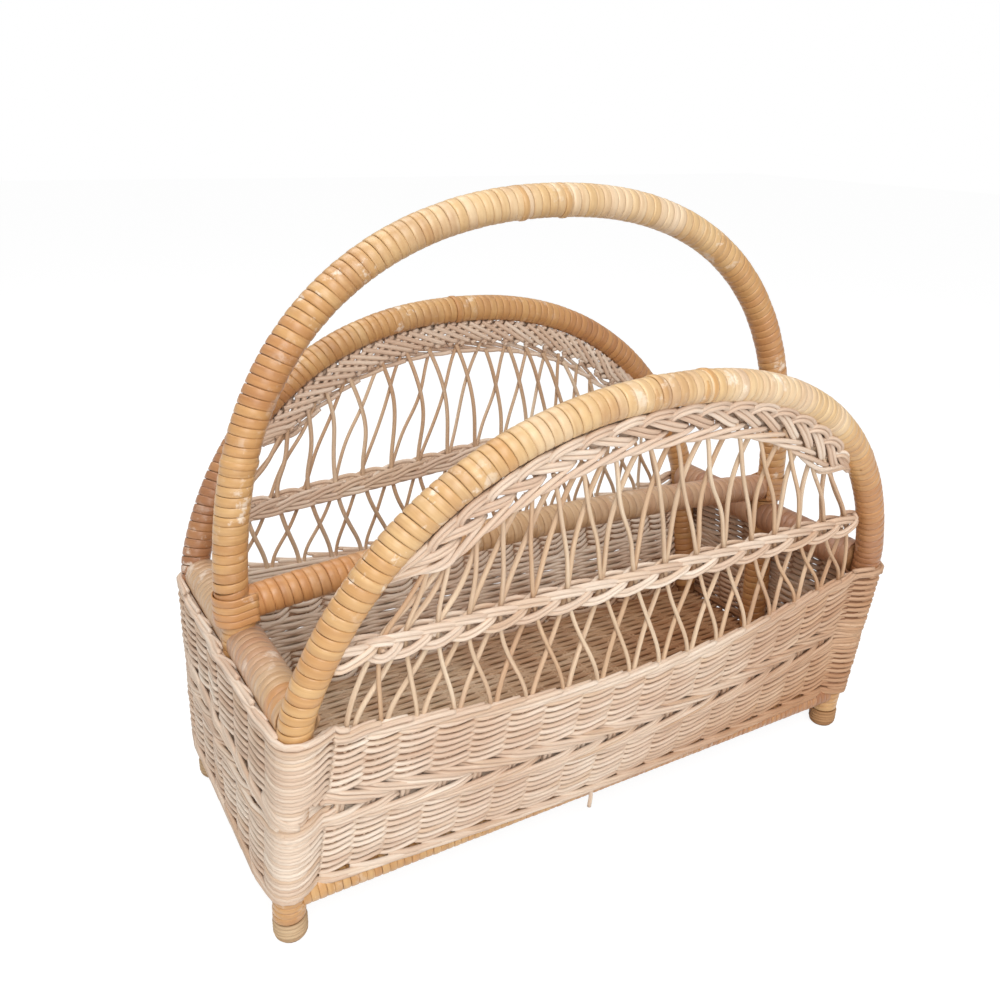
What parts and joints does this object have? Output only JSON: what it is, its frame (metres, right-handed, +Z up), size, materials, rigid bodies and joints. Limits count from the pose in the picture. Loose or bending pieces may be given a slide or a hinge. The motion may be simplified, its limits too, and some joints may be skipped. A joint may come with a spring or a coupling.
{
  "type": "wicker magazine basket",
  "caption": "Wicker magazine basket: woven reed box on short feet, leaning lattice arch panels front and back, a cane-wrapped centre bar and a tall fixed hoop handle.",
  "frame": {"origin": "on the floor, under the middle of the basket", "axes": "+X along the length to the right end, +Y to the back panel, +Z up"},
  "size_m": [0.4374, 0.2494, 0.3805],
  "materials": {
    "bare_rattan": "satin",
    "cane_honey": "glossy varnish",
    "cane_rose": "glossy varnish",
    "reed_pale": "matte",
    "reed_warm": "satin",
    "reed_foot": "satin"
  },
  "bodies": {
    "root": {"front_arch_pole": "bare_rattan", "front_arch_binding": "cane_honey", "back_arch_pole": "bare_rattan", "back_arch_binding": "cane_honey", "handle_pole": "bare_rattan", "handle_binding": "cane_honey", "left_rail_front_pole": "bare_rattan", "left_rail_front_binding": "cane_rose", "left_rail_back_pole": "bare_rattan", "left_rail_back_binding": "cane_rose", "right_rail_front_pole": "bare_rattan", "right_rail_front_binding": "cane_rose", "right_rail_back_pole": "bare_rattan", "right_rail_back_binding": "cane_rose", "centre_bar_pole": "bare_rattan", "centre_bar_binding": "cane_rose", "front_base_rail_pole": "bare_rattan", "front_base_rail_binding": "cane_honey", "back_base_rail_pole": "bare_rattan", "back_base_rail_binding": "cane_honey", "left_base_rail_pole": "bare_rattan", "left_base_rail_binding": "cane_honey", "right_base_rail_pole": "bare_rattan", "right_base_rail_binding": "cane_honey", "floor_bar_left": "bare_rattan", "floor_bar_right": "bare_rattan", "base_border": "reed_pale", "lower_weave": "reed_pale", "wale_band": "reed_pale", "upper_weave": "reed_pale", "rim_border": "reed_pale", "floor_weave": "reed_pale", "front_lattice": "reed_warm", "front_middle_braid": "reed_warm", "front_arch_braid": "reed_warm", "front_arch_twining": "reed_pale", "back_lattice": "reed_warm", "back_middle_braid": "reed_warm", "back_arch_braid": "reed_warm", "back_arch_twining": "reed_pale", "foot_winding_front_left": "reed_foot", "foot_lashing_front_left": "cane_honey", "foot_winding_back_left": "reed_foot", "foot_lashing_back_left": "cane_honey", "bar_lashing_left": "cane_honey", "foot_winding_front_right": "reed_foot", "foot_lashing_front_right": "cane_honey", "foot_winding_back_right": "reed_foot", "foot_lashing_back_right": "cane_honey", "bar_lashing_right": "cane_honey"}
  },
  "joints": []
}
